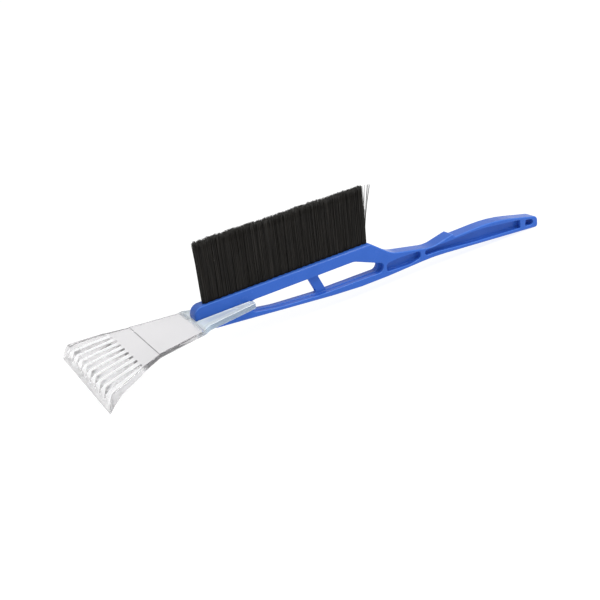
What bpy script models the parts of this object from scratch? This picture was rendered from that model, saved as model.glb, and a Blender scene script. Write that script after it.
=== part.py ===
"""Hand brush with an ice scraper: moulded frame, push-fit clear scraper head, stapled bristle tufts.

Run with: blender --background --python part.py

Everything is laid out from one datum, the front upper edge of the brush bar: X runs back along
the bar to the handle, Z rises out of the bar with the bristles, and Y = 0 is the plane of
symmetry. DATUM places that datum, so that the world origin is the middle of the object's
footprint and the lowest point of the handle lies at Z = 0.
Sizes are in millimetres, and MM turns them into metres.
"""

import math

import bmesh
import bpy
from mathutils import Matrix, Vector

MM = 0.001
DATUM = (-109.6, 0.0, 39.4)
GAP = 0.3  # clearance between touching pieces
ARC_STEP = math.radians(15)
CLEAR = 5.0  # how far a cutter reaches past the solid that it cuts

# Frame
FRAME_WIDTH = 12.0  # across the flat sides
NOSE_HALF = 4.7  # half width at the nose, from where the bar widens to the full width
NOSE_X = -6.3
BAR_END = 139.8
FRAME_EDGE = 1.0  # rounding along the sides
WEB = 3.0  # web left between the recesses of the two sides
BAR_DEPTH = 9.2  # top of the bar to the top of the windows
LEDGE = 0.6  # rim of web left around each window
SEAT_DEPTH = 9.6  # top of the bar to the roof of the scraper's seat
SEAT_END = 45.0
TONGUE = 5.0  # thickness of the web that fills the scraper's slot

# Bristle tufts
TUFTS = 27
FIRST_TUFT = 5.1
LAST_TUFT = 137.1
HOLE_RADIUS = 2.05
HOLE_SIDES = 12
HOLE_DEPTH = 7.9
ROOT_RADIUS = 1.7
TUFT_SIDES = 10
BRISTLE_LENGTH = 44.2
BRISTLE_LEAN = 2.4  # how far the tips trail toward the handle
TIP_HALF_X = 2.35
TIP_HALF_Y = 2.7
FLARE_HEIGHT = 9.0  # where a tuft has nearly its full size
FLARE = 0.94  # share of the full size there

# Anchor staples
ANCHOR_SIZE = (3.2, 0.45, 1.6)
ANCHOR_HEIGHT = -6.0

# Scraper head
BLADE_HALF = 50.0  # half the width of the blade
BLADE_X = -88.4
SHANK_TOP = -9.9
SHANK_BOTTOM = -13.1
SLOT_HALF = 2.8  # half the gap between the prongs
SCRAPER_SPAN = 40.0  # height of the plan's blank, before the profile trims it
BEND_X = -43.0  # where the shank ends and the fan begins
RAIL_TOP = -9.0
RAIL_INNER = 5.4  # half the gap between the rails
RAIL_RAMP = 3.0  # length of the slope at the front of a rail
RAIL_OVERLAP = 1.1  # how far a rail reaches down into its prong
GROOVES = 9
GROOVE_FRONT_PITCH = 9.6
GROOVE_REAR_PITCH = 7.7
GROOVE_FRONT = (-88.0, -18.4)  # (x, z) of the bottom of a groove at the front
GROOVE_REAR = (-57.0, -12.4)
GROOVE_SLOPE = 0.9  # half width over depth
GROOVE_TOP = 6.0  # flat top of a groove's cutter, clear above the fan

# Outlines are (x, z, corner radius), or (x, y, corner radius) for half of the scraper seen from above.
FRAME_OUTLINE = (
    (NOSE_X, 0.0, 7.0),
    (BAR_END, 0.0, 1.6),
    (158.5, -13.9, 25.0),
    (196.0, -21.6, 30.0),
    (217.6, -17.3, 1.2),
    (219.2, -20.0, 0.6),
    (262.0, -19.6, 150.0),
    (307.6, -30.3, 4.0),
    (307.6, -39.6, 2.5),
    (197.0, -29.9, 200.0),
    (128.0, -31.7, 400.0),
    (7.0, -19.5, 3.0),
    (1.0, -13.4, 1.1),
    (1.0, -SEAT_DEPTH, 0.5),
    (NOSE_X, -SEAT_DEPTH, 1.5),
)
WINDOW_RECESS = (
    (37.0, -BAR_DEPTH, 3.5),
    (124.0, -BAR_DEPTH, 12.0),
    (149.2, -19.0, 3.0),
    (149.2, -25.7, 4.5),
    (90.0, -24.5, 80.0),
    (56.0, -21.7, 80.0),
    (37.0, -18.3, 2.5),
)
FRONT_WINDOW = (
    (37.0 + LEDGE, -BAR_DEPTH - LEDGE, 3.5),
    (85.4, -BAR_DEPTH - LEDGE, 1.0),
    (91.0, -24.5 + LEDGE, 1.5),
    (56.0, -21.7 + LEDGE, 80.0),
    (37.0 + LEDGE, -18.3 + LEDGE, 2.0),
)
REAR_WINDOW = (
    (93.8, -BAR_DEPTH - LEDGE, 1.8),
    (123.6, -BAR_DEPTH - LEDGE, 12.0),
    (146.2, -18.6, 2.5),
    (146.2, -25.6 + LEDGE, 4.0),
    (99.4, -24.8 + LEDGE, 1.2),
)
NECK_POCKET = (
    (151.9, -20.4, 3.2),
    (166.0, -19.8, 60.0),
    (184.6, -20.8, 2.2),
    (184.2, -26.4, 3.0),
    (174.0, -28.3, 8.0),
    (151.9, -27.1, 2.0),
)
HANDLE_POCKET = (
    (189.0, -21.9, 2.0),
    (247.0, -22.2, 120.0),
    (288.0, -27.8, 0.8),
    (288.0, -34.8, 0.8),
    (238.0, -30.9, 100.0),
    (202.0, -26.8, 40.0),
    (189.0, -26.3, 2.0),
)
HANGING_HOLE = (
    (294.4, -29.8, 1.0),
    (301.0, -31.0, 2.0),
    (303.2, -33.6, 2.0),
    (300.8, -35.8, 2.0),
    (293.6, -34.9, 1.0),
)
SCRAPER_HALF_PLAN = (
    (BLADE_X, BLADE_HALF, 0.0),
    (-83.0, 46.4, 0.0),
    (-72.0, 41.8, 0.0),
    (-60.0, 36.6, 1.2),
    (-57.6, 34.6, 1.0),
    (BEND_X, 28.3, 0.0),
    (-6.5, 20.6, 2.0),
    (-1.5, 17.3, 2.0),
    (37.6, 10.9, 2.5),
    (37.6, SLOT_HALF, 2.0),
    (1.0 - GAP, SLOT_HALF, 1.0),
)
RAIL_PLAN = (  # corners (x, y) of the rail on a prong, which stands beside the bar
    (-9.0, RAIL_INNER),
    (-9.0, 15.0),
    (-2.0, 17.0),
    (35.8, 10.8),
    (36.8, 9.0),
    (36.8, RAIL_INNER),
)
SCRAPER_PROFILE = (
    (40.0, SHANK_TOP, 0.0),
    (BEND_X, SHANK_TOP, 0.0),
    (BEND_X - 0.2, SHANK_TOP - 0.4, 0.0),
    (-57.5, -11.1, 0.0),
    (-72.0, -12.9, 0.0),
    (-83.0, -14.4, 1.0),
    (-85.6, -17.8, 0.0),
    (BLADE_X, -24.8, 0.0),
    (BLADE_X + 0.3, -25.2, 0.0),
    (-83.0, -22.4, 0.0),
    (-77.0, -19.0, 0.0),
    (-59.0, -15.2, 0.0),
    (BEND_X, SHANK_BOTTOM, 0.0),
    (40.0, SHANK_BOTTOM, 0.0),
)


def clear_scene():
    for obj in list(bpy.data.objects):
        bpy.data.objects.remove(obj, do_unlink=True)


def new_collection(name, helper=False):
    collection = bpy.data.collections.new(name)
    bpy.context.scene.collection.children.link(collection)
    collection.hide_render = helper
    return collection


def new_empty(name, place, parent=None):
    empty = bpy.data.objects.new(name, None)
    empty.empty_display_size = 0.01
    empty.parent = parent
    empty.location = Vector(place) * MM
    PARTS.objects.link(empty)
    return empty


def new_object(name, mesh, collection, parent):
    obj = bpy.data.objects.new(name, mesh)
    obj.parent = parent
    collection.objects.link(obj)
    if collection is CUTTERS:
        obj.hide_render = True
        obj.display_type = "WIRE"
    return obj


def principled(name, color, roughness, metallic=0.0, transmission=0.0):
    material = bpy.data.materials.new(name)
    material.use_nodes = True
    shader = material.node_tree.nodes["Principled BSDF"]
    shader.inputs["Base Color"].default_value = (*color, 1.0)
    shader.inputs["Roughness"].default_value = roughness
    shader.inputs["Metallic"].default_value = metallic
    shader.inputs["Transmission Weight"].default_value = transmission
    return material


def rounded_corner(before, corner, after, radius):
    """The points of an arc that rounds one corner of an outline."""
    corner = Vector(corner)
    back = (Vector(before) - corner).normalized()
    ahead = (Vector(after) - corner).normalized()
    turn = math.pi - back.angle(ahead)
    if radius == 0.0 or turn < 1e-3:
        return [corner]
    reach = radius * math.tan(turn / 2)
    centre = corner + (back + ahead).normalized() * radius / math.cos(turn / 2)
    start = corner + back * reach - centre
    steps = max(2, math.ceil(turn / ARC_STEP))
    sign = 1 if back.cross(ahead) < 0 else -1
    return [centre + Matrix.Rotation(sign * turn * i / steps, 2) @ start for i in range(steps + 1)]


def rounded_outline(corners):
    points = []
    for i, (x, y, radius) in enumerate(corners):
        before = corners[i - 1][:2]
        after = corners[(i + 1) % len(corners)][:2]
        points += rounded_corner(before, (x, y), after, radius)
    return points


def outline_mesh(name, corners, thickness, edge=0.0):
    """A flat plate in the XY plane with the given outline, centred on Z = 0."""
    curve = bpy.data.curves.new(name, "CURVE")
    curve.dimensions = "2D"
    curve.fill_mode = "BOTH"
    curve.extrude = (thickness / 2 - edge) * MM
    curve.bevel_depth = edge * MM
    curve.bevel_resolution = 1
    curve.offset = -edge * MM
    points = rounded_outline(corners)
    spline = curve.splines.new("POLY")
    spline.points.add(len(points) - 1)
    for spline_point, point in zip(spline.points, points):
        spline_point.co = (point.x * MM, point.y * MM, 0.0, 1.0)
    spline.use_cyclic_u = True
    guide = bpy.data.objects.new(name + "_guide", curve)
    bpy.context.scene.collection.objects.link(guide)
    graph = bpy.context.evaluated_depsgraph_get()
    mesh = bpy.data.meshes.new_from_object(guide.evaluated_get(graph))
    bpy.data.objects.remove(guide)
    bm = bmesh.new()
    bm.from_mesh(mesh)
    bmesh.ops.remove_doubles(bm, verts=bm.verts, dist=1e-6)
    bmesh.ops.recalc_face_normals(bm, faces=bm.faces)
    bm.to_mesh(mesh)
    bm.free()
    return mesh


def side_plate(name, corners, thickness, collection, parent, edge=0.0, middle=0.0):
    """A plate whose outline stands in the XZ plane, with its middle at Y = middle."""
    mesh = outline_mesh(name, corners, thickness, edge)
    mesh.transform(Matrix.Translation((0, middle * MM, 0)) @ Matrix.Rotation(math.pi / 2, 4, "X"))
    return new_object(name, mesh, collection, parent)


def hull(name, points, collection, parent):
    """The convex solid that spans the given points."""
    bm = bmesh.new()
    for point in points:
        bm.verts.new(Vector(point) * MM)
    bmesh.ops.convex_hull(bm, input=bm.verts)
    mesh = bpy.data.meshes.new(name)
    bm.to_mesh(mesh)
    bm.free()
    return new_object(name, mesh, collection, parent)


def block(name, low, high, collection, parent):
    corners = [(x, y, z) for x in (low[0], high[0]) for y in (low[1], high[1]) for z in (low[2], high[2])]
    return hull(name, corners, collection, parent)


def boolean(target, tool, operation="DIFFERENCE"):
    modifier = target.modifiers.new(tool.name, "BOOLEAN")
    modifier.operation = operation
    modifier.solver = "EXACT"
    modifier.object = tool


def finish(obj, material, smooth=False):
    obj.data.materials.clear()
    obj.data.materials.append(material)
    if smooth:
        obj.data.shade_smooth()
        obj.data.set_sharp_from_angle(angle=math.radians(30))
    else:
        obj.data.shade_flat()


def tuft_x(index):
    return FIRST_TUFT + (LAST_TUFT - FIRST_TUFT) * index / (TUFTS - 1)


def tuft_holes(parent):
    """One cutter with a plain cylinder for every tuft."""
    bm = bmesh.new()
    depth = HOLE_DEPTH + CLEAR
    for index in range(TUFTS):
        place = Vector((tuft_x(index), 0, CLEAR - depth / 2)) * MM
        bmesh.ops.create_cone(
            bm,
            cap_ends=True,
            segments=HOLE_SIDES,
            radius1=HOLE_RADIUS * MM,
            radius2=HOLE_RADIUS * MM,
            depth=depth * MM,
            matrix=Matrix.Translation(place),
        )
    mesh = bpy.data.meshes.new("tuft_holes")
    bm.to_mesh(mesh)
    bm.free()
    return new_object("tuft_holes", mesh, CUTTERS, parent)


def make_taper(side, parent):
    """The wedge beside the bar that leaves it narrower at the nose."""
    slope = (FRAME_WIDTH / 2 - NOSE_HALF) / (BAR_END - NOSE_X)
    corners = []
    for x in (NOSE_X - CLEAR, BAR_END + CLEAR):
        face = NOSE_HALF + (x - NOSE_X) * slope
        corners += [(x, side * y, z) for y in (face, FRAME_WIDTH) for z in (CLEAR, -DATUM[2] - CLEAR)]
    return hull(f"taper_{side:+d}", corners, CUTTERS, parent)


def make_frame(parent, material):
    frame = side_plate("frame", FRAME_OUTLINE, FRAME_WIDTH, PARTS, parent, edge=FRAME_EDGE)
    pockets = {"window_recess": WINDOW_RECESS, "neck_pocket": NECK_POCKET, "handle_pocket": HANDLE_POCKET}
    recess = FRAME_WIDTH / 2
    for side, mark in ((-1, "right"), (1, "left")):
        boolean(frame, make_taper(side, parent))
        for name, corners in pockets.items():
            middle = side * (WEB / 2 + recess / 2)
            boolean(frame, side_plate(f"{name}_{mark}", corners, recess, CUTTERS, parent, middle=middle))
        seat_low = (NOSE_X - CLEAR, side * TONGUE / 2, SHANK_BOTTOM - GAP)
        seat_high = (SEAT_END, side * FRAME_WIDTH, -SEAT_DEPTH)
        boolean(frame, block(f"seat_{mark}", seat_low, seat_high, CUTTERS, parent))
    through = {"front_window": FRONT_WINDOW, "rear_window": REAR_WINDOW, "hanging_hole": HANGING_HOLE}
    for name, corners in through.items():
        boolean(frame, side_plate(name, corners, FRAME_WIDTH + 2 * CLEAR, CUTTERS, parent))
    boolean(frame, tuft_holes(parent))
    finish(frame, material, smooth=True)
    return frame


def make_groove(index, parent):
    """A V-shaped cutter that deepens from the rear of the fan to its front."""
    step = index - (GROOVES - 1) / 2
    points = []
    for (x, z), pitch in ((GROOVE_FRONT, GROOVE_FRONT_PITCH), (GROOVE_REAR, GROOVE_REAR_PITCH)):
        top = GROOVE_REAR[1] + GROOVE_TOP
        half = (top - z) * GROOVE_SLOPE
        middle = step * pitch
        points += [(x, middle, z), (x, middle - half, top), (x, middle + half, top)]
    return hull(f"groove_{index + 1}", points, CUTTERS, parent)


def make_rail(side, parent):
    """The thick outer part of a prong, with a slope at its front."""
    start = min(x for x, y in RAIL_PLAN)
    foot = [(x, side * y, SHANK_TOP - RAIL_OVERLAP) for x, y in RAIL_PLAN]
    top = [(max(x, start + RAIL_RAMP), side * y, RAIL_TOP) for x, y in RAIL_PLAN]
    return hull(f"rail_{side:+d}", foot + top, CUTTERS, parent)


def make_scraper(parent, material):
    right = list(SCRAPER_HALF_PLAN)
    left = [(x, -y, radius) for x, y, radius in reversed(right)]
    mesh = outline_mesh("scraper_head", right + left, SCRAPER_SPAN)
    mesh.transform(Matrix.Translation((0, 0, SHANK_TOP * MM)))
    scraper = new_object("scraper_head", mesh, PARTS, parent)
    profile = side_plate("scraper_profile", SCRAPER_PROFILE, 2 * (BLADE_HALF + CLEAR), CUTTERS, parent)
    boolean(scraper, profile, "INTERSECT")
    for side in (-1, 1):
        boolean(scraper, make_rail(side, parent), "UNION")
    for index in range(GROOVES):
        boolean(scraper, make_groove(index, parent))
    finish(scraper, material)
    return scraper


def tuft_mesh():
    """A tuft from its folded root in the hole to its flared, leaning tip."""
    root_bottom = GAP - HOLE_DEPTH
    rings = (  # height, half size along X, half size along Y
        (0.0, ROOT_RADIUS, ROOT_RADIUS),
        (FLARE_HEIGHT, TIP_HALF_X * FLARE, TIP_HALF_Y * FLARE),
        (BRISTLE_LENGTH, TIP_HALF_X, TIP_HALF_Y),
    )
    bm = bmesh.new()
    bmesh.ops.create_circle(bm, cap_ends=True, segments=TUFT_SIDES, radius=ROOT_RADIUS * MM)
    bmesh.ops.translate(bm, verts=bm.verts, vec=(0, 0, root_bottom * MM))
    bm.faces.ensure_lookup_table()
    foot = top = bm.faces[0]
    half_x = half_y = ROOT_RADIUS
    for height, ring_x, ring_y in rings:
        grown = bmesh.ops.extrude_face_region(bm, geom=[top], use_keep_orig=True)["geom"]
        if top is not foot:
            bmesh.ops.delete(bm, geom=[top], context="FACES_ONLY")
        top = next(item for item in grown if isinstance(item, bmesh.types.BMFace))
        for vert in top.verts:
            vert.co = (vert.co.x * ring_x / half_x, vert.co.y * ring_y / half_y, height * MM)
        half_x, half_y = ring_x, ring_y
    for vert in bm.verts:
        vert.co.x += max(vert.co.z, 0.0) * BRISTLE_LEAN / BRISTLE_LENGTH
    bmesh.ops.recalc_face_normals(bm, faces=bm.faces)
    mesh = bpy.data.meshes.new("tuft")
    bm.to_mesh(mesh)
    bm.free()
    return mesh


def make_tufts(parent, bristle, steel):
    shape = tuft_mesh()
    length, thickness, height = ANCHOR_SIZE
    slot_low = (-ROOT_RADIUS - CLEAR, -thickness / 2 - GAP, ANCHOR_HEIGHT - height / 2 - GAP)
    slot_high = (ROOT_RADIUS + CLEAR, thickness / 2 + GAP, ANCHOR_HEIGHT + height / 2 + GAP)
    for index in range(TUFTS):
        number = f"{index + 1:02d}"
        hole = new_empty(f"tuft_hole_{number}", (tuft_x(index), 0, 0), parent)
        tuft = new_object(f"bristle_tuft_{number}", shape.copy(), PARTS, hole)
        boolean(tuft, block(f"staple_slot_{number}", slot_low, slot_high, CUTTERS, hole))
        finish(tuft, bristle, smooth=True)
        low = (-length / 2, -thickness / 2, ANCHOR_HEIGHT - height / 2)
        high = (length / 2, thickness / 2, ANCHOR_HEIGHT + height / 2)
        finish(block(f"tuft_anchor_{number}", low, high, PARTS, hole), steel)


clear_scene()
PARTS = new_collection("snow_brush_scraper")
CUTTERS = new_collection("snow_brush_scraper_cutters", helper=True)
BLUE = principled("blue_plastic", (0.035, 0.135, 0.62), 0.35)
GLASSY = principled("clear_plastic", (0.93, 0.95, 0.97), 0.05, transmission=1.0)
BRISTLE = principled("black_bristle", (0.012, 0.011, 0.010), 0.55)
STEEL = principled("staple_steel", (0.62, 0.61, 0.58), 0.3, metallic=1.0)

datum = new_empty("bar_datum", DATUM)
shank_middle = (SHANK_TOP + SHANK_BOTTOM) / 2
head_slide = new_empty("head_slide", (0, 0, shank_middle), datum)
head_datum = new_empty("head_datum", (0, 0, -shank_middle), head_slide)
make_frame(datum, BLUE)
make_scraper(head_datum, GLASSY)
make_tufts(datum, BRISTLE, STEEL)
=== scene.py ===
"""Looks for the snow brush scraper: a glossy blue moulded frame, a clear scraper head and black bristles.

Shapes are laid out in millimetres from the front upper edge of the brush bar, as the CAD is:
X runs back along the bar to the handle, Z rises with the bristles, and Y = 0 is the plane of
symmetry. PLACE carries them to the row frame in metres.
"""

import math
import random

import bpy
import numpy as np
import openvdb
from mathutils import Matrix, Vector


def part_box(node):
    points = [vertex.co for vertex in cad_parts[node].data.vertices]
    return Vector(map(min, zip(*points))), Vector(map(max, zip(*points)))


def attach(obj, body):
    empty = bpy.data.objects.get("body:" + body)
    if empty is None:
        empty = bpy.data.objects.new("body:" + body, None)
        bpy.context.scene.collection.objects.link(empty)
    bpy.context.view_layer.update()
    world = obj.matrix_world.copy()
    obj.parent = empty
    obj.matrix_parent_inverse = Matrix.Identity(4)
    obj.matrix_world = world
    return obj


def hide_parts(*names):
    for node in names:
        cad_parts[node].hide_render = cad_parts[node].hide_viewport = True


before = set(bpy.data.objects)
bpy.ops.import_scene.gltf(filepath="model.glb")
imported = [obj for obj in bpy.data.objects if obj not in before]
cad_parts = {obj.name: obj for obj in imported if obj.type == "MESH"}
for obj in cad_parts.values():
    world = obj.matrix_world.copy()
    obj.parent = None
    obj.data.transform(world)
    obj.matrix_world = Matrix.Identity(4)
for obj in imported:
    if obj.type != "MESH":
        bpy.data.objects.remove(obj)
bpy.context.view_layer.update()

MM = 0.001
ARC_STEP = math.radians(4)

# Frame, as in the CAD
NOSE_X = -6.3
HANDLE_END = 307.6
BAR_END = 139.8
FRAME_HALF = 6.0  # half width of the handle and of the rear of the bar
NOSE_HALF = 4.7
WEB_HALF = 1.5
BAR_DEPTH = 9.2
LEDGE = 0.6
SEAT_DEPTH = 9.6
SEAT_END = 45.0
TONGUE_HALF = 2.5
TUFTS = 27
FIRST_TUFT = 5.1
LAST_TUFT = 137.1
HOLE_RADIUS = 2.05
HOLE_DEPTH = 7.9

# Rounded edges of the frame
NOSE_EDGE = 0.8  # along the top of the bar at the nose, growing to REAR_EDGE
REAR_EDGE = 2.3
BODY_EDGE = 1.1
RIM_EDGE = 0.5  # round the pockets
FLOOR_EDGE = 0.5  # where a pocket's walls meet its floor
WINDOW_EDGE = 0.5  # of the openings through it, the seat and the tuft holes
CELL = 0.35  # spacing of the grid that a moulding is carved on
MARGIN = 1.5  # how far the grid reaches round the moulding

# Bristles
FILAMENTS = 140
GOLDEN_ANGLE = math.pi * (3 - math.sqrt(5))  # spreads the filaments evenly over a hole
FILAMENT_RADIUS = 0.165
FILAMENT_SIDES = 5
FILAMENT_HEIGHTS = (-1.2, 0.0, 1.0, 4.0, 12.0, 20.0, 28.0, 36.0)  # and then the tip
BRISTLE_LENGTH = 43.4
BRISTLE_LEAN = 2.4
ROOT_RADIUS = 1.75
FLARE_HEIGHT = 0.5  # how soon a tuft opens out, from FLARE_START
FLARE_START = -0.6
SQUARENESS = 0.55  # how far a tuft fills the corners between it and the next
CORNER_FILL = 0.75  # and how sharp those corners are
SEED = 7
SWAY = 0.3  # spread of the filaments' lean at their tips
ANGLE_JITTER = 0.12
TUFT_LENGTH_SPREAD = 0.35
SHORTER, LONGER = 0.9, 0.7  # how much a filament's length may differ from its tuft's
STRAY_CURVE = 1.6
TIP_HALF_X = 3.7
TIP_HALF_Y = 2.8
END_HALF_X = 2.4  # half width of the outer side of the first and last tufts
STRAYS = {  # how far each stray filament spreads at its tip, and its length, at either end of the row
    -1: ((1.3, 43.6),),
    1: (
        (2.6, 25.5), (3.6, 25.0), (3.0, 43.5), (4.2, 43.0),
        (5.6, 42.6), (6.4, 43.4), (7.6, 42.9), (9.0, 42.0),
    ),
}

# Scraper head
GAP = 0.3  # between it and the frame
BLADE_HALF = 50.0
BLADE_X = -88.4
SHANK_TOP = -9.9
SHANK_BOTTOM = -13.1
SLOT_HALF = 2.8
BEND_X = -43.0
RAIL_TOP = -9.0
RAIL_INNER = 5.4
RAIL_START = -9.0
RAIL_RAMP = 3.0
RAIL_OVERLAP = 1.1
LINE_START = -7.0  # the fine grooves along the top of a rail, given by their insets from its outer edge
LINE_END = 35.5
LINE_INSETS = (1.0, 3.2)
LINE_DEPTH = 0.55
BEAD_RADIUS = 0.6  # of the bead along the inner edge of a rail
NOTCH_RADIUS = 0.95  # of the notch at the front end of a groove
NOTCH = (-85.6, -19.8)  # its middle and its floor
HEAD_EDGE = 0.4
GROOVE_EDGE = 0.15
ZONES_FROM = -90.0  # ends of the stretch that the two sets of zones below are laid along
ZONES_TO = 40.0
LEVEL_ZONES = (  # colour and clarity along the head on nearly level faces, partly a slight haze and partly painted light: the pale, hazy rail tops stand for light carried inside the acrylic
    (-58.0, (0.94, 0.94, 0.95), 0.95),
    (-56.5, (0.81, 0.80, 0.815), 0.86),
    (-9.0, (0.81, 0.80, 0.815), 0.86),
    (-5.0, (0.90, 0.97, 1.0), 0.36),
)
SIDE_ZONES = (  # and on steep faces, where the bluer rail sides are painted light for the blue frame seen through them
    (-58.0, (0.93, 0.92, 0.93), 0.70),
    (-57.0, (0.88, 0.88, 0.89), 0.97),
    (-9.0, (0.88, 0.88, 0.89), 0.97),
    (-5.0, (0.66, 0.80, 0.95), 0.72),
)
GROOVES = 9
GROOVE_FRONT_PITCH = 9.6
GROOVE_REAR_PITCH = 7.7
GROOVE_FRONT = (-88.0, -18.4)
GROOVE_REAR = (-57.0, -12.4)
GROOVE_SLOPE = 0.9

# Colours
BLUE_DARKER = (0.0310, 0.118, 0.500)
BLUE_LIGHTER = (0.0360, 0.129, 0.535)
# Painted highlight: a lighter blue for the rounded upper edges of the frame, where the key lamp's reflection
# falls
BLUE_PAINTED_HIGHLIGHT = (0.085, 0.220, 0.70)
BLACK_DARKER = (0.0040, 0.0036, 0.0030)
BLACK_LIGHTER = (0.024, 0.021, 0.017)
STEEL_COLOUR = (0.62, 0.61, 0.58)

# Where a mask in a material starts and where it is full
PAINTED_HIGHLIGHT_EDGES = (0.503, 0.53)  # of pointiness, for the painted highlight along the blue plastic's edges
GLASS_HIGHLIGHT_EDGES = (0.52, 0.60)  # of pointiness, for the painted highlight along the clear plastic's edges
UPWARD = (0.25, 0.55)  # of the Z part of the normal, where the blue plastic gets its painted highlight
LEVEL = (0.38, 0.46)  # of the same, where a face of the clear plastic counts as level

# Studio, in metres and degrees
FLOOR_HALF = 12
LIGHT_PLACE = (0.50, -0.45, 0.85)
LIGHT_SIDE = 0.45
LIGHT_POWER = 6
CAMERA_PLACE = (-0.294882, -0.512967, 0.273822)
CAMERA_TURN = (65.45533, 8.77418, -31.07508)
CAMERA_LENS = 51.9197

FRAME_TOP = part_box("frame")[1]
PLACE = Matrix.Translation((FRAME_TOP.x - HANDLE_END * MM, 0, FRAME_TOP.z)) @ Matrix.Scale(MM, 4)

FRAME_OUTLINE = (
    (NOSE_X, 0.0, 7.0),
    (BAR_END, 0.0, 3.0),
    (158.5, -13.9, 25.0),
    (196.0, -21.6, 30.0),
    (217.6, -17.3, 1.4),
    (219.2, -20.0, 0.6),
    (262.0, -19.6, 150.0),
    (307.6, -30.3, 4.0),
    (307.6, -39.6, 2.5),
    (197.0, -29.9, 200.0),
    (128.0, -31.7, 400.0),
    (7.0, -19.5, 3.0),
    (1.0, -13.4, 1.1),
    (1.0, -SEAT_DEPTH, 0.5),
    (NOSE_X, -SEAT_DEPTH, 1.5),
)
WINDOW_RECESS = (
    (37.0, -BAR_DEPTH, 3.5),
    (124.0, -BAR_DEPTH, 12.0),
    (149.2, -19.0, 3.0),
    (149.2, -25.7, 4.5),
    (90.0, -24.5, 80.0),
    (56.0, -21.7, 80.0),
    (37.0, -18.3, 2.5),
)
FRONT_WINDOW = (
    (37.0 + LEDGE, -BAR_DEPTH - LEDGE, 3.5),
    (85.4, -BAR_DEPTH - LEDGE, 1.0),
    (91.0, -24.5 + LEDGE, 1.5),
    (56.0, -21.7 + LEDGE, 80.0),
    (37.0 + LEDGE, -18.3 + LEDGE, 2.0),
)
REAR_WINDOW = (
    (93.8, -BAR_DEPTH - LEDGE, 1.8),
    (123.6, -BAR_DEPTH - LEDGE, 12.0),
    (146.2, -18.6, 2.5),
    (146.2, -25.6 + LEDGE, 4.0),
    (99.4, -24.8 + LEDGE, 1.2),
)
NECK_POCKET = (
    (151.9, -20.4, 3.2),
    (166.0, -19.8, 60.0),
    (184.6, -20.8, 2.2),
    (184.2, -26.4, 3.0),
    (174.0, -28.3, 8.0),
    (151.9, -27.1, 2.0),
)
HANDLE_POCKET = (
    (189.0, -21.9, 2.0),
    (247.0, -22.2, 120.0),
    (288.0, -27.8, 0.8),
    (288.0, -34.8, 0.8),
    (238.0, -30.9, 100.0),
    (202.0, -26.8, 40.0),
    (189.0, -26.3, 2.0),
)
HANGING_HOLE = (
    (294.4, -29.8, 1.0),
    (301.0, -31.0, 2.0),
    (303.2, -33.6, 2.0),
    (300.8, -35.8, 2.0),
    (293.6, -34.9, 1.0),
)
SCRAPER_HALF_PLAN = (
    (BLADE_X, BLADE_HALF, 0.0),
    (-83.0, 46.4, 0.0),
    (-72.0, 41.8, 0.0),
    (-60.0, 36.6, 1.2),
    (-57.6, 34.6, 1.0),
    (BEND_X, 28.3, 0.0),
    (-6.5, 20.6, 2.0),
    (-1.5, 17.3, 2.0),
    (37.6, 10.9, 2.5),
    (37.6, SLOT_HALF, 2.0),
    (1.0 - GAP, SLOT_HALF, 1.0),
)
SCRAPER_PROFILE = (
    (40.0, SHANK_TOP, 0.0),
    (BEND_X, SHANK_TOP, 0.0),
    (BEND_X - 0.2, SHANK_TOP - 0.4, 0.0),
    (-57.5, -11.1, 0.0),
    (-72.0, -12.9, 0.0),
    (-83.0, -14.4, 1.0),
    (-85.6, -17.8, 0.0),
    (BLADE_X, -24.8, 0.0),
    (BLADE_X + 0.3, -25.2, 0.0),
    (-83.0, -22.4, 0.0),
    (-77.0, -19.0, 0.0),
    (-59.0, -15.2, 0.0),
    (BEND_X, SHANK_BOTTOM, 0.0),
    (40.0, SHANK_BOTTOM, 0.0),
)

OUTLINES = {
    "frame": FRAME_OUTLINE,
    "window_recess": WINDOW_RECESS,
    "front_window": FRONT_WINDOW,
    "rear_window": REAR_WINDOW,
    "neck_pocket": NECK_POCKET,
    "handle_pocket": HANDLE_POCKET,
    "hanging_hole": HANGING_HOLE,
}
SCRAPER_PLAN = SCRAPER_HALF_PLAN + tuple((x, -y, radius) for x, y, radius in reversed(SCRAPER_HALF_PLAN))


# Outlines and solids


def rounded_corner(before, corner, after, radius):
    """The points of an arc that rounds one corner of an outline."""
    corner = Vector(corner)
    back = (Vector(before) - corner).normalized()
    ahead = (Vector(after) - corner).normalized()
    turn = math.pi - back.angle(ahead)
    if radius == 0.0 or turn < 1e-3:
        return [corner]
    reach = radius * math.tan(turn / 2)
    centre = corner + (back + ahead).normalized() * radius / math.cos(turn / 2)
    start = corner + back * reach - centre
    steps = max(2, math.ceil(turn / ARC_STEP))
    sign = 1 if back.cross(ahead) < 0 else -1
    return [centre + Matrix.Rotation(sign * turn * i / steps, 2) @ start for i in range(steps + 1)]


def rounded_outline(corners):
    """The points of an outline with its corners rounded."""
    points = []
    for i, (x, y, radius) in enumerate(corners):
        before = corners[i - 1][:2]
        after = corners[(i + 1) % len(corners)][:2]
        points += rounded_corner(before, (x, y), after, radius)
    return points


def new_object(name, points, faces):
    mesh = bpy.data.meshes.new(name)
    mesh.from_pydata(points, [], faces)
    obj = bpy.data.objects.new(name, mesh)
    bpy.context.scene.collection.objects.link(obj)
    return obj


# Materials


def new_material(name):
    """A material, its nodes and links, and its shader."""
    material = bpy.data.materials.new(name)
    material.use_nodes = True
    nodes = material.node_tree.nodes
    return material, nodes, material.node_tree.links, nodes["Principled BSDF"]


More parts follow.
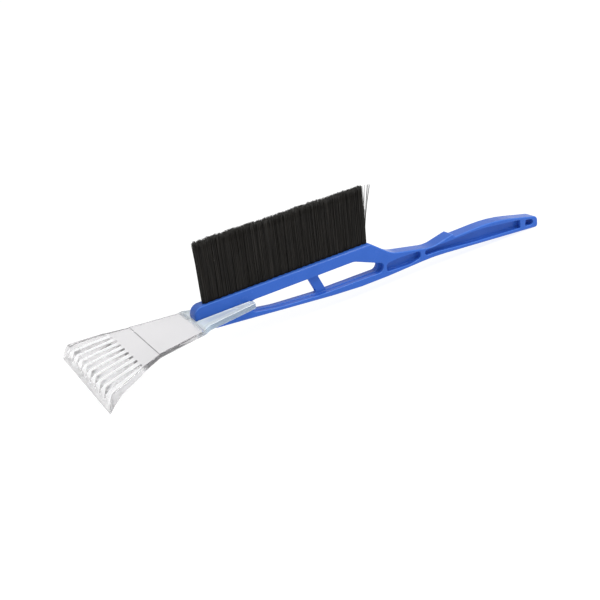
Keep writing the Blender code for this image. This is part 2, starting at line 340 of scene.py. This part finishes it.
def noise_node(nodes, links, scale, detail=2.0, stretch=(1, 1, 1)):
    coords = nodes.new("ShaderNodeTexCoord")
    mapping = nodes.new("ShaderNodeMapping")
    mapping.inputs["Scale"].default_value = stretch
    noise = nodes.new("ShaderNodeTexNoise")
    noise.inputs["Scale"].default_value = scale
    noise.inputs["Detail"].default_value = detail
    links.new(coords.outputs["Object"], mapping.inputs["Vector"])
    links.new(mapping.outputs["Vector"], noise.inputs["Vector"])
    return noise.outputs["Fac"]


def spread(nodes, links, source, low, high, start=0.3, end=0.7):
    """source, from start to end, spread over low to high."""
    node = nodes.new("ShaderNodeMapRange")
    for socket, value in (("From Min", start), ("From Max", end), ("To Min", low), ("To Max", high)):
        node.inputs[socket].default_value = value
    links.new(source, node.inputs["Value"])
    return node.outputs["Result"]


def blend(nodes, links, factor, low, high, kind="RGBA"):
    """low where factor is 0 and high where it is 1. Each of them is a socket or a colour."""
    node = nodes.new("ShaderNodeMix")
    node.data_type = kind
    links.new(factor, node.inputs["Factor"])
    for name, value in (("A", low), ("B", high)):
        if isinstance(value, tuple):
            node.inputs[name].default_value = (*value, 1)
        else:
            links.new(value, node.inputs[name])
    return node.outputs["Result"]


def bump_node(nodes, links, height, depth, strength=1.0):
    node = nodes.new("ShaderNodeBump")
    node.inputs["Strength"].default_value = strength
    node.inputs["Distance"].default_value = depth
    links.new(height, node.inputs["Height"])
    return node.outputs["Normal"]


def axis(nodes, links, source, letter):
    """One coordinate of a vector."""
    split = nodes.new("ShaderNodeSeparateXYZ")
    links.new(source, split.inputs["Vector"])
    return split.outputs[letter]


def facing(nodes):
    """Which way the surface faces."""
    return nodes.new("ShaderNodeNewGeometry").outputs["Normal"]


def blue_plastic():
    """Glossy moulded plastic: a slightly uneven blue, with a fine texture, patches of softer gloss and a
    painted highlight along its upward-facing edges.
    """
    material, nodes, links, shader = new_material("moulded_blue")
    mottle = spread(nodes, links, noise_node(nodes, links, 60, 3), 0, 1)
    colour = blend(nodes, links, mottle, BLUE_DARKER, BLUE_LIGHTER)
    upward = spread(nodes, links, axis(nodes, links, facing(nodes), "Z"), 0.0, 1.0, *UPWARD)
    # Painted highlight: sharp edges that face upwards turn a lighter blue, as if catching the key lamp
    painted_highlight = maths(nodes, links, "MULTIPLY", edge_mask(nodes, links, *PAINTED_HIGHLIGHT_EDGES), upward)
    links.new(blend(nodes, links, painted_highlight, colour, BLUE_PAINTED_HIGHLIGHT), shader.inputs["Base Color"])
    shader.inputs["Specular IOR Level"].default_value = 0.16
    links.new(spread(nodes, links, noise_node(nodes, links, 110, 4), 0.20, 0.28), shader.inputs["Roughness"])
    grain = noise_node(nodes, links, 1800, 3)
    links.new(bump_node(nodes, links, grain, 0.00001, 0.3), shader.inputs["Normal"])
    return material


def zones(nodes, links, source, stops):
    """A ramp along the scraper head: each stop is a place, a colour and how clear the plastic is there."""
    ramp = nodes.new("ShaderNodeValToRGB")
    elements = ramp.color_ramp.elements
    while len(elements) < len(stops):
        elements.new(1.0)
    for element, (x, colour, clarity) in zip(elements, stops):
        element.position = (x - ZONES_FROM) / (ZONES_TO - ZONES_FROM)
        element.color = (*colour, clarity)
    links.new(source, ramp.inputs["Fac"])
    return ramp.outputs


def maths(nodes, links, operation, *sources):
    node = nodes.new("ShaderNodeMath")
    node.operation = operation
    for source, socket in zip(sources, node.inputs):
        links.new(source, socket)
    return node.outputs["Value"]


def edge_mask(nodes, links, start, end):
    """0 on level faces, rising to 1 along edges that stand out."""
    geometry = nodes.new("ShaderNodeNewGeometry")
    return spread(nodes, links, geometry.outputs["Pointiness"], 0.0, 1.0, start, end)


def clear_plastic():
    """Clear acrylic with faint flow marks. Its haze and colour change along the head and between level and
    steep faces, partly a slight haze and partly painted light, and its edges carry a painted highlight.
    """
    material, nodes, links, shader = new_material("clear_acrylic")
    place = nodes.new("ShaderNodeTexCoord").outputs["Object"]
    start, end = ((PLACE @ Vector((x, 0, 0))).x for x in (ZONES_FROM, ZONES_TO))
    along = spread(nodes, links, axis(nodes, links, place, "X"), 0.0, 1.0, start, end)
    levelness = maths(nodes, links, "ABSOLUTE", axis(nodes, links, facing(nodes), "Z"))
    on_side = spread(nodes, links, levelness, 1.0, 0.0, *LEVEL)
    # Painted light: level and steep faces take different colours and clarities, as lit and shaded copies of
    # the same acrylic
    level, side = zones(nodes, links, along, LEVEL_ZONES), zones(nodes, links, along, SIDE_ZONES)
    links.new(blend(nodes, links, on_side, level["Color"], side["Color"]), shader.inputs["Base Color"])
    clarity = blend(nodes, links, on_side, level["Alpha"], side["Alpha"], "FLOAT")
    haze = spread(nodes, links, clarity, 1.0, 0.0, 0.0, 1.0)
    # Painted highlight: sharp edges lose clarity and show the pale base colour, standing for light scattered
    # out at the edges
    edge_highlight_haze = maths(nodes, links, "MULTIPLY", edge_mask(nodes, links, *GLASS_HIGHLIGHT_EDGES), haze)
    clarity = maths(nodes, links, "SUBTRACT", clarity, edge_highlight_haze)
    links.new(clarity, shader.inputs["Transmission Weight"])
    shader.inputs["IOR"].default_value = 1.49
    links.new(spread(nodes, links, noise_node(nodes, links, 60, 3), 0.0, 0.03), shader.inputs["Roughness"])
    flow = noise_node(nodes, links, 40, 2, stretch=(0.4, 1.6, 1))
    links.new(bump_node(nodes, links, flow, 0.0004, 0.08), shader.inputs["Normal"])
    return material


def bristle_plastic():
    """Black extruded filament, a little lighter or browner from one to the next."""
    material, nodes, links, shader = new_material("black_filament")
    shade = noise_node(nodes, links, 1500, 2, stretch=(1, 1, 0.03))
    colour = blend(nodes, links, spread(nodes, links, shade, 0, 1), BLACK_DARKER, BLACK_LIGHTER)
    links.new(colour, shader.inputs["Base Color"])
    shader.inputs["Specular IOR Level"].default_value = 0.3
    links.new(spread(nodes, links, shade, 0.35, 0.55), shader.inputs["Roughness"])
    return material


def staple_steel():
    """Drawn wire, with fine lines along its length."""
    material, nodes, links, shader = new_material("drawn_steel")
    lines = noise_node(nodes, links, 4000, 2, stretch=(0.05, 1, 1))
    shader.inputs["Base Color"].default_value = (*STEEL_COLOUR, 1)
    shader.inputs["Metallic"].default_value = 1.0
    links.new(spread(nodes, links, lines, 0.22, 0.4), shader.inputs["Roughness"])
    links.new(bump_node(nodes, links, lines, 0.00002, 0.4), shader.inputs["Normal"])
    return material


def dress(obj, material, body, slot, *nodes):
    """Gives a finished piece its material and its body, and hides the CAD nodes that it stands for. slot is
    not used.
    """
    obj.data.transform(PLACE)
    obj.data.materials.clear()
    obj.data.materials.append(material)
    obj.data.shade_smooth()
    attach(obj, body)
    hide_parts(*nodes)


# Frame and scraper head, each carved as a field of distances to its surface, which openvdb makes a mesh


def tuft_x(index):
    return FIRST_TUFT + (LAST_TUFT - FIRST_TUFT) * index / (TUFTS - 1)


def outline_distance(corners, x, z):
    """Distance to an outline over a grid of places in the XZ plane, negative inside it."""
    points = [np.array(p) for p in rounded_outline(corners)]
    nearest = np.full(x.shape, 1e9)
    inside = np.zeros(x.shape, bool)
    for start, end in zip(points, points[1:] + points[:1]):
        run = end - start
        share = np.clip(((x - start[0]) * run[0] + (z - start[1]) * run[1]) / (run @ run), 0, 1)
        away = (x - start[0] - share * run[0]) ** 2 + (z - start[1] - share * run[1]) ** 2
        nearest = np.minimum(nearest, away)
        spans = (start[1] > z) != (end[1] > z)
        if run[1] != 0:
            inside ^= spans & (x < start[0] + (z - start[1]) * run[0] / run[1])
    return np.where(inside, -1, 1) * np.sqrt(nearest)


def both(first, second, radius):
    """Where two solids overlap, with the edge between them rounded."""
    first, second = first + radius, second + radius
    corner = np.hypot(np.maximum(first, 0), np.maximum(second, 0))
    return np.minimum(np.maximum(first, second), 0) + corner - radius


def without(solid, hole, radius):
    return both(solid, -hole, radius)


def box_distance(place, low, high):
    """Distance to a block, one axis of place at a time, with a side of None left open."""
    sides = []
    for value, least, most in zip(place, low, high):
        if least is not None:
            sides.append(least - value)
        if most is not None:
            sides.append(value - most)
    return np.maximum.reduce(np.broadcast_arrays(*sides))


def frame_field(x, y, z):
    """Distance to the frame's surface at each place of the grid, negative inside it."""
    flat_x, flat_z = np.broadcast_arrays(x[:, 0, :], z[:, 0, :])
    distance = {}
    for name, corners in OUTLINES.items():
        distance[name] = outline_distance(corners, flat_x, flat_z)[:, None, :]
    share = np.clip((x - NOSE_X) / (BAR_END - NOSE_X), 0, 1)
    half_width = NOSE_HALF + (FRAME_HALF - NOSE_HALF) * share
    on_top = np.clip((z + 4) / 3, 0, 1) * np.clip((BAR_END + 4 - x) / 6, 0, 1)
    edge = BODY_EDGE + on_top * (NOSE_EDGE + (REAR_EDGE - NOSE_EDGE) * share - BODY_EDGE)
    depth = np.abs(y)
    solid = both(distance["frame"], depth - half_width, edge)
    for name in ("window_recess", "neck_pocket", "handle_pocket"):
        recess = both(distance[name], WEB_HALF - depth, FLOOR_EDGE)
        solid = without(solid, recess, RIM_EDGE)
    for name in ("front_window", "rear_window", "hanging_hole"):
        solid = without(solid, distance[name], WINDOW_EDGE)
    seat = box_distance((x, depth, z), (None, TONGUE_HALF, SHANK_BOTTOM - GAP), (SEAT_END, None, -SEAT_DEPTH))
    solid = without(solid, seat, WINDOW_EDGE)
    along = (x - FIRST_TUFT) / (tuft_x(1) - FIRST_TUFT)
    nearest_tuft = tuft_x(np.clip(np.round(along), 0, TUFTS - 1))
    hole = np.maximum(np.hypot(x - nearest_tuft, y) - HOLE_RADIUS, -HOLE_DEPTH - z)
    return without(solid, hole, WINDOW_EDGE)


def carve(name, field, low, high):
    """The surface of a solid given by its field, in a block of space from low to high."""
    low = np.array(low) - MARGIN
    axes = [np.arange(a, b, CELL) for a, b in zip(low, np.array(high) + MARGIN)]
    x, y, z = np.meshgrid(*axes, indexing="ij", sparse=True)
    grid = openvdb.FloatGrid(MARGIN)
    grid.copyFromArray(np.clip(field(x, y, z), -MARGIN, MARGIN).astype(np.float32))
    points, triangles, quads = grid.convertToPolygons(isovalue=0.0)
    return new_object(name, (points * CELL + low).tolist(), triangles.tolist() + quads.tolist())


def make_frame(material):
    across = [corner[0] for corner in FRAME_OUTLINE]
    up = [corner[1] for corner in FRAME_OUTLINE]
    low, high = (min(across), -FRAME_HALF, min(up)), (max(across), FRAME_HALF, max(up))
    body = carve("frame_moulding", frame_field, low, high)
    dress(body, material, "handle", "blue_plastic", "frame")


# Scraper head


def groove_distance(x, y, z):
    """Distance to the nearest V-shaped groove, which deepens from the rear of the fan to its front."""
    share = (x - GROOVE_REAR[0]) / (GROOVE_FRONT[0] - GROOVE_REAR[0])
    pitch = GROOVE_REAR_PITCH + (GROOVE_FRONT_PITCH - GROOVE_REAR_PITCH) * share
    floor = GROOVE_REAR[1] + (GROOVE_FRONT[1] - GROOVE_REAR[1]) * share
    outermost = (GROOVES - 1) / 2
    step = np.clip(np.round(y / pitch), -outermost, outermost)
    walls = (np.abs(y - step * pitch) - (z - floor) * GROOVE_SLOPE) / math.hypot(1, GROOVE_SLOPE)
    notch = np.maximum(np.hypot(x - NOTCH[0], y - step * pitch) - NOTCH_RADIUS, NOTCH[1] - z)
    return np.minimum(np.maximum(walls, x - GROOVE_REAR[0]), notch)


def rail_distance(plan, x, y, z):
    """Distance to the thick outer part of either prong, with a slope at its front."""
    slope = math.atan2(RAIL_TOP - SHANK_TOP, RAIL_RAMP)
    ramp = (z - SHANK_TOP) * math.cos(slope) - (x - RAIL_START) * math.sin(slope)
    solid = both(plan, np.maximum(z - RAIL_TOP, ramp), HEAD_EDGE)
    solid = both(solid, RAIL_INNER - np.abs(y), HEAD_EDGE)
    bead = np.hypot(np.abs(y) - RAIL_INNER - BEAD_RADIUS, z - RAIL_TOP) - BEAD_RADIUS
    bead = both(bead, box_distance((x,), (RAIL_START + RAIL_RAMP,), (LINE_END,)), HEAD_EDGE)
    return np.minimum(np.maximum(solid, SHANK_TOP - RAIL_OVERLAP - z), bead)


def scraper_field(x, y, z):
    """Distance to the scraper head's surface at each place of the grid, negative inside it."""
    plan = outline_distance(SCRAPER_PLAN, *np.broadcast_arrays(x[:, :, 0], y[:, :, 0]))[:, :, None]
    profile = outline_distance(SCRAPER_PROFILE, *np.broadcast_arrays(x[:, 0, :], z[:, 0, :]))[:, None, :]
    solid = np.minimum(both(plan, profile, HEAD_EDGE), rail_distance(plan, x, y, z))
    solid = without(solid, groove_distance(x, y, z), GROOVE_EDGE)
    beside = np.minimum.reduce([np.abs(plan + inset) for inset in LINE_INSETS])
    line = (beside - (z - RAIL_TOP + LINE_DEPTH)) / math.sqrt(2)
    beyond_bead = RAIL_INNER + 2 * BEAD_RADIUS
    ends = box_distance((x, np.abs(y)), (LINE_START, beyond_bead), (LINE_END, None))
    return without(solid, np.maximum(line, ends), GROOVE_EDGE)


def make_scraper(material):
    low = (BLADE_X, -BLADE_HALF, min(corner[1] for corner in SCRAPER_PROFILE))
    high = (max(corner[0] for corner in SCRAPER_PLAN), BLADE_HALF, RAIL_TOP + BEAD_RADIUS)
    head = carve("scraper_moulding", scraper_field, low, high)
    dress(head, material, "scraper", "clear_plastic", "scraper_head")


# Bristles


def tubes(name, paths):
    """Thin closed tubes, one along each path. Every path has as many points as the first."""
    count, steps = len(paths), len(paths[0])
    turns = np.arange(FILAMENT_SIDES) * math.tau / FILAMENT_SIDES
    ring = np.stack([np.cos(turns), np.sin(turns), np.zeros(FILAMENT_SIDES)], axis=1) * FILAMENT_RADIUS
    verts = (np.array(paths)[:, :, None, :] + ring[None, None]).reshape(-1, 3)
    side = np.arange(FILAMENT_SIDES)
    following = (side + 1) % FILAMENT_SIDES
    faces = []
    for tube in range(count):
        base = tube * steps * FILAMENT_SIDES
        for step in range(steps - 1):
            low, high = base + step * FILAMENT_SIDES, base + (step + 1) * FILAMENT_SIDES
            sides = zip(side.tolist(), following.tolist())
            faces += [(low + a, low + b, high + b, high + a) for a, b in sides]
        faces.append([base + i for i in reversed(range(FILAMENT_SIDES))])
        top = base + (steps - 1) * FILAMENT_SIDES
        faces.append([top + i for i in range(FILAMENT_SIDES)])
    return new_object(name, verts.tolist(), faces)


def filament_path(middle, root, half_x, length, draw, stray=0.0):
    """One filament from its root in the hole to its tip. root is its place in the unit disc."""
    points = []
    corner = 1 + SQUARENESS * (1 / math.sqrt(1 - CORNER_FILL * root[0] ** 2) - 1)
    sway_x, sway_y = draw.gauss(0, SWAY), draw.gauss(0, SWAY)
    sway_x = min(sway_x, SWAY) if half_x == END_HALF_X else sway_x
    for height in (*FILAMENT_HEIGHTS, length):
        height = min(height, length)
        share = max(0.0, height) / BRISTLE_LENGTH
        flare = 1 - math.exp(min(0.0, FLARE_START - height) / FLARE_HEIGHT)
        x = root[0] * (ROOT_RADIUS + (half_x - ROOT_RADIUS) * flare)
        y = root[1] * (ROOT_RADIUS + (TIP_HALF_Y * corner - ROOT_RADIUS) * flare)
        x += (BRISTLE_LEAN + sway_x) * share + stray * share**STRAY_CURVE
        y += sway_y * share
        points.append((middle + x, y, height))
    return points


def make_tuft(index, material, draw):
    """A tuft of loose filaments. The first and the last tuft have a few strays on their outer side."""
    paths = []
    outer = {0: -1, TUFTS - 1: 1}.get(index, 0)
    tuft_length = BRISTLE_LENGTH + draw.uniform(-TUFT_LENGTH_SPREAD, TUFT_LENGTH_SPREAD)
    for number in range(FILAMENTS):
        radius = math.sqrt((number + 0.5) / FILAMENTS)
        angle = number * GOLDEN_ANGLE + draw.gauss(0, ANGLE_JITTER)
        root = (radius * math.cos(angle), radius * math.sin(angle))
        half_x = END_HALF_X if root[0] * outer > 0 else TIP_HALF_X
        length = tuft_length + draw.uniform(-SHORTER, LONGER)
        paths.append(filament_path(tuft_x(index), root, half_x, length, draw))
    for reach, length in STRAYS.get(outer, ()):
        root = (0.9 * outer, draw.uniform(-0.4, 0.4))
        paths.append(filament_path(tuft_x(index), root, END_HALF_X, length, draw, stray=outer * reach))
    name = f"bristles_{index + 1:02d}"
    dress(tubes(name, paths), material, "handle", "bristle", f"bristle_tuft_{index + 1:02d}")


# Surroundings


def make_floor():
    """White paper, lit from below as on a light table."""
    corners = [(x * FLOOR_HALF, y * FLOOR_HALF, 0) for x, y in ((-1, -1), (1, -1), (1, 1), (-1, 1))]
    floor = new_object("floor", corners, [(0, 1, 2, 3)])
    material, nodes, links, shader = new_material("white_paper")
    shader.inputs["Base Color"].default_value = (0.25, 0.25, 0.25, 1)
    shader.inputs["Roughness"].default_value = 0.9
    shader.inputs["Specular IOR Level"].default_value = 0.0
    shader.inputs["Emission Color"].default_value = (1, 1, 1, 1)
    shader.inputs["Emission Strength"].default_value = 0.85
    floor.data.materials.append(material)


def make_world():
    """A pale room with a white horizon, darker above it towards the front and towards both ends."""
    world = bpy.data.worlds.new("studio")
    world.use_nodes = True
    nodes, links = world.node_tree.nodes, world.node_tree.links
    ray = nodes.new("ShaderNodeTexCoord").outputs["Generated"]
    background = nodes["Background"]
    background.inputs["Color"].default_value = (1, 1, 1, 1)
    across = spread(nodes, links, axis(nodes, links, ray, "Y"), 0.6, 0.92, start=-0.7, end=0.3)
    sideways = maths(nodes, links, "ABSOLUTE", axis(nodes, links, ray, "X"))
    ends = spread(nodes, links, sideways, 1.0, 0.35, start=0.55, end=0.95)
    horizon = spread(nodes, links, axis(nodes, links, ray, "Z"), 1.0, 0.0, start=0.09, end=0.2)
    strength = maths(nodes, links, "MAXIMUM", maths(nodes, links, "MULTIPLY", across, ends), horizon)
    links.new(strength, background.inputs["Strength"])
    bpy.context.scene.world = world


def make_light():
    """A soft square lamp that points at the middle of the object."""
    data = bpy.data.lights.new("key", "AREA")
    data.size = LIGHT_SIDE
    data.energy = LIGHT_POWER
    light = bpy.data.objects.new("key", data)
    light.location = LIGHT_PLACE
    light.rotation_euler = (-Vector(LIGHT_PLACE)).to_track_quat("-Z", "Y").to_euler()
    bpy.context.scene.collection.objects.link(light)


def make_camera():
    data = bpy.data.cameras.new("camera")
    data.lens = CAMERA_LENS
    data.sensor_width = 36
    data.clip_start = 0.01
    camera = bpy.data.objects.new("camera", data)
    camera.location = CAMERA_PLACE
    camera.rotation_euler = [math.radians(angle) for angle in CAMERA_TURN]
    bpy.context.scene.collection.objects.link(camera)
    bpy.context.scene.camera = camera


make_camera()
make_world()
make_floor()
make_light()
bpy.context.scene.view_settings.view_transform = "Standard"

BLUE = blue_plastic()
CLEAR = clear_plastic()
BRISTLE = bristle_plastic()
STEEL = staple_steel()
make_frame(BLUE)
make_scraper(CLEAR)
draw = random.Random(SEED)
for index in range(TUFTS):
    make_tuft(index, BRISTLE, draw)
for name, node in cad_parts.items():
    if name.startswith("tuft_anchor"):
        node.data.materials.clear()
        node.data.materials.append(STEEL)
